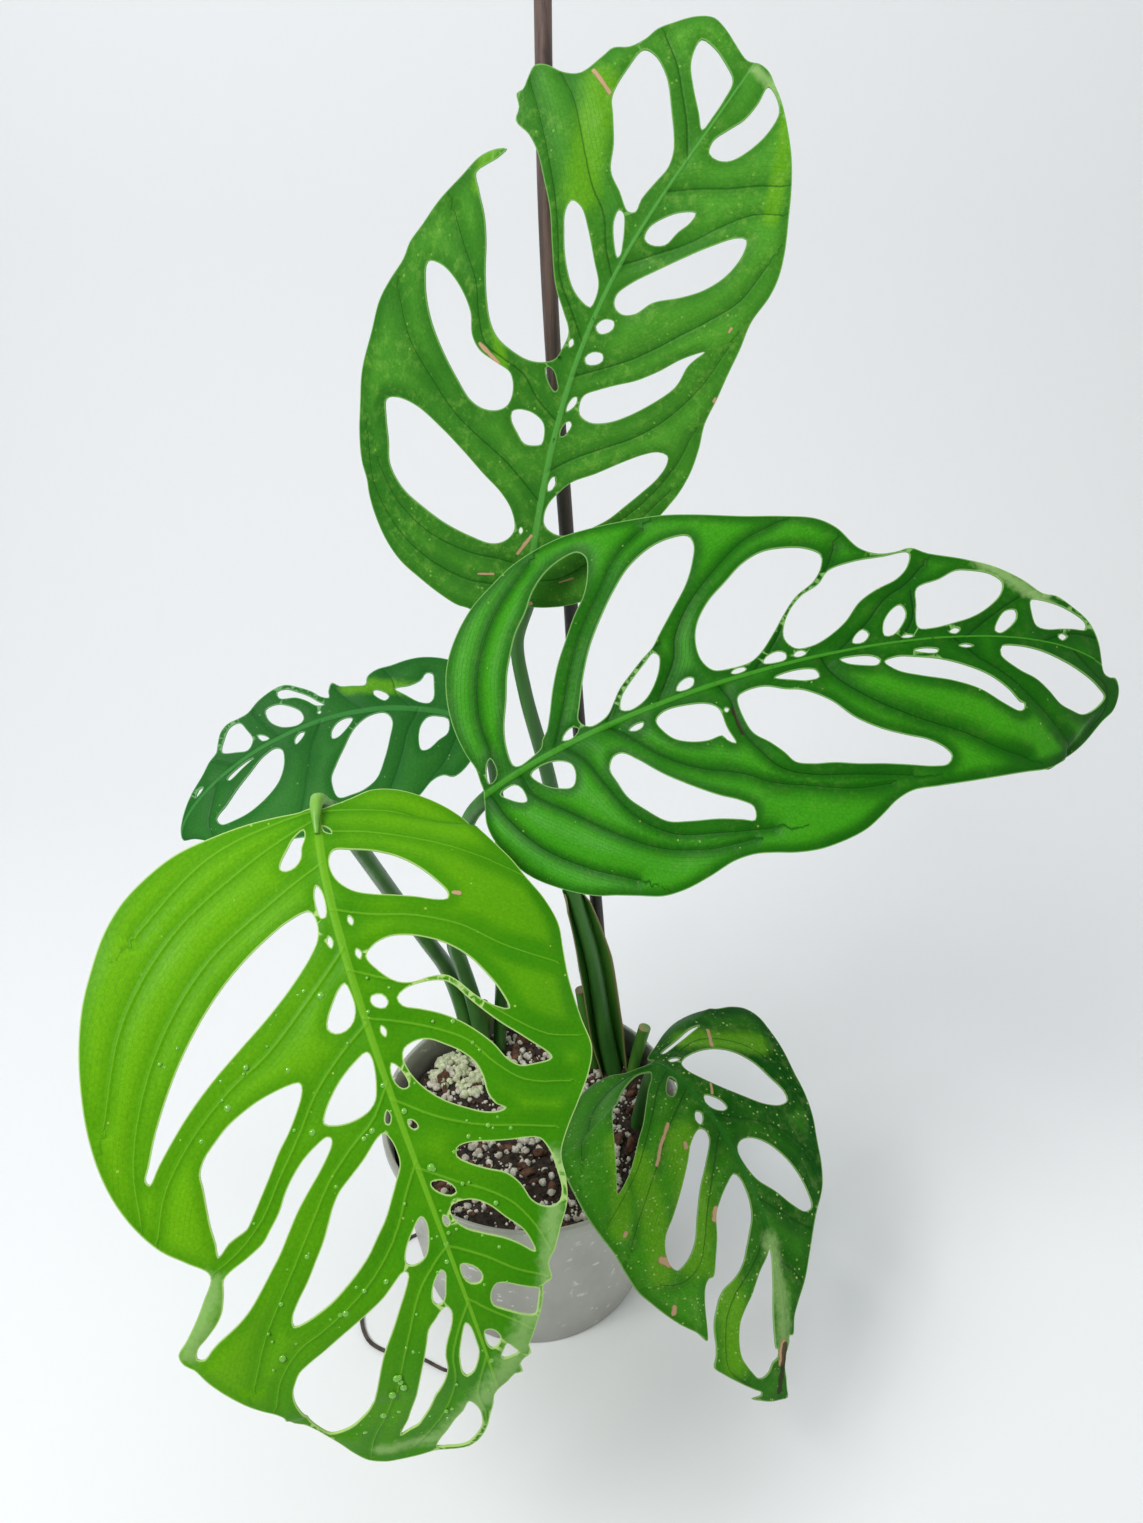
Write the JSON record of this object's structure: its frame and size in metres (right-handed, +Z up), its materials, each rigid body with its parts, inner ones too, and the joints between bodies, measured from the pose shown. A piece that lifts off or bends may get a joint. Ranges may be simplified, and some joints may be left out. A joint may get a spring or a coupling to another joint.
{
  "type": "potted climbing plant",
  "caption": "Climbing aroid with long perforated leaves in a plain round nursery pot of coarse soil, with a thin brown support stake.",
  "frame": {"origin": "centre of the pot's underside, on the surface it rests on", "axes": "+Z up, +Y away from the side the leaves face, +X to the right seen from that side"},
  "size_m": [0.4245, 0.3093, 0.6685],
  "materials": {
    "leaf_bright": "satin lime green leaf",
    "leaf_deep": "satin deep green leaf",
    "leaf_mottled": "satin mottled green leaf",
    "leaf_dark": "satin dark green leaf",
    "leaf_bluish": "satin bluish green leaf",
    "shoot": "soft yellow green shoot",
    "stem": "fresh green stem",
    "stake_brown": "ribbed brown coating",
    "dry_root": "dry brown root",
    "pot_grey": "warm grey, scuffed",
    "soil": "coarse bark and soil mix with white grains"
  },
  "bodies": {
    "root": {"leaf_front": "leaf_bright", "leaf_right": "leaf_deep", "leaf_upper": "leaf_mottled", "leaf_low": "leaf_dark", "leaf_back": "leaf_bluish", "crown_shoot": "shoot", "cut_stem": "stem", "cut_stub": "stem", "stake": "stake_brown", "dry_root": "dry_root", "pot": "pot_grey", "soil": "soil"}
  },
  "joints": []
}
